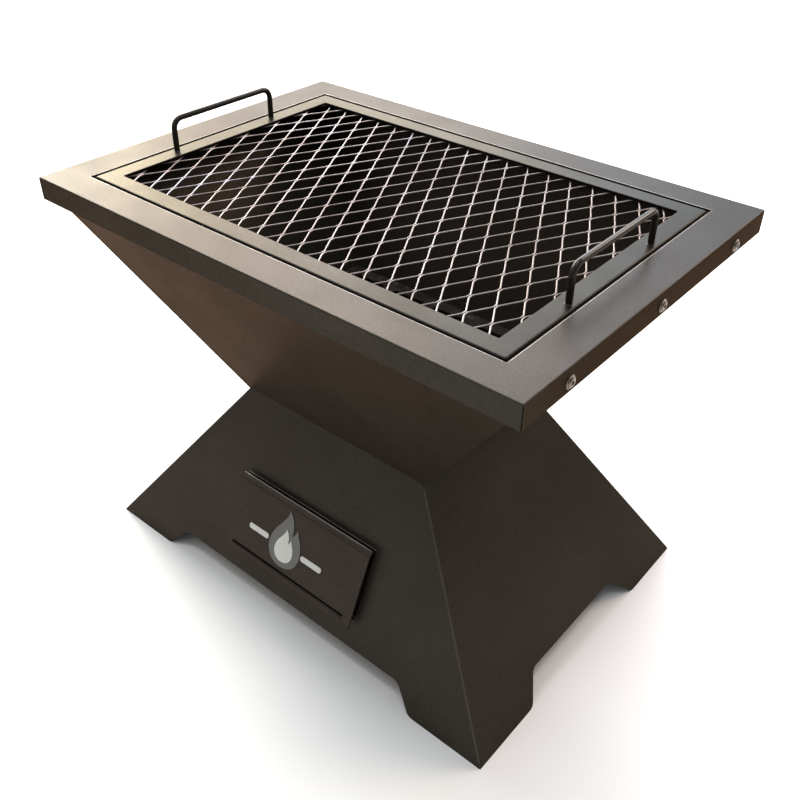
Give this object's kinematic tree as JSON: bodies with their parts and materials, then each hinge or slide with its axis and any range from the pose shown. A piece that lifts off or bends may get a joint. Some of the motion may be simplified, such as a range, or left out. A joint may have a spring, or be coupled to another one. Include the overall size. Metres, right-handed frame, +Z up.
{
  "type": "hibachi grill",
  "caption": "Free-standing charcoal grill of two steel pyramids joined at a narrow waist, with a flat rim, a lift-out expanded-metal cooking grate and an ash drawer.",
  "frame": {"origin": "on the ground, under the middle of the grill's outer box", "axes": "+Z up, +X along the rim's long side towards the right-hand end as seen from the drawer, -Y towards the front with the drawer"},
  "size_m": [0.7274, 0.504, 0.605],
  "materials": {
    "rim_steel": "dark bronze fine-grain powder coat, satin, warm sheen at low angles",
    "body_steel": "dark bronze fine-grain powder coat, satin",
    "inner_steel": "matt black heat-resistant paint",
    "grate_frame_steel": "dark grey heat-resistant coat, satin, slightly worn",
    "mesh_steel": "bare expanded steel, seasoned and heat tinted",
    "handle_steel": "satin black painted rod",
    "charcoal_grate_steel": "sooty dark iron",
    "tray_steel": "matt dark sheet steel",
    "fastener_steel": "stainless steel, lightly worn",
    "emblem_grey": "mid grey enamel",
    "emblem_light": "pale grey enamel"
  },
  "bodies": {
    "stand": {"rim_frame": "rim_steel", "rim_bracket_right": "inner_steel", "rim_bracket_left": "inner_steel", "rim_bracket_back": "inner_steel", "rim_bracket_front": "inner_steel", "grate_ledge_right": "inner_steel", "grate_ledge_left": "inner_steel", "grate_ledge_back": "inner_steel", "grate_ledge_front": "inner_steel", "hopper_front_plate": "body_steel", "hopper_back_plate": "body_steel", "hopper_right_plate": "body_steel", "hopper_left_plate": "body_steel", "base_front_plate": "body_steel", "base_back_plate": "body_steel", "base_right_plate": "body_steel", "base_left_plate": "body_steel", "waist_ring": "inner_steel", "drawer_runner_right": "inner_steel", "drawer_runner_left": "inner_steel", "rim_screw_right_1": "fastener_steel", "rim_screw_right_2": "fastener_steel", "rim_screw_right_3": "fastener_steel", "rim_screw_left_1": "fastener_steel", "rim_screw_left_2": "fastener_steel", "rim_screw_left_3": "fastener_steel", "rim_nut_right_1": "fastener_steel", "rim_nut_right_2": "fastener_steel", "rim_nut_right_3": "fastener_steel", "rim_nut_left_1": "fastener_steel", "rim_nut_left_2": "fastener_steel", "rim_nut_left_3": "fastener_steel"},
    "cooking_grate": {"grate_frame": "grate_frame_steel", "cooking_mesh": "mesh_steel", "grate_handle_right": "handle_steel", "grate_handle_left": "handle_steel"},
    "charcoal_grate": {"charcoal_grate_plate": "charcoal_grate_steel"},
    "ash_drawer": {"drawer_front": "body_steel", "ash_tray": "tray_steel", "emblem_flame_outer": "emblem_grey", "emblem_flame_inner": "emblem_light", "emblem_bar_right": "emblem_light", "emblem_bar_left": "emblem_light"}
  },
  "joints": [
    {"name": "cooking_grate_lift", "type": "slide", "parent": "stand", "child": "cooking_grate", "axis": [0, 0, 1], "range_m": [0, 0.15]},
    {"name": "charcoal_grate_lift", "type": "slide", "parent": "stand", "child": "charcoal_grate", "axis": [0, 0, 1], "range_m": [0, 0.15]},
    {"name": "ash_drawer_slide", "type": "slide", "parent": "stand", "child": "ash_drawer", "axis": [0, -1, 0], "range_m": [0, 0.2]}
  ]
}
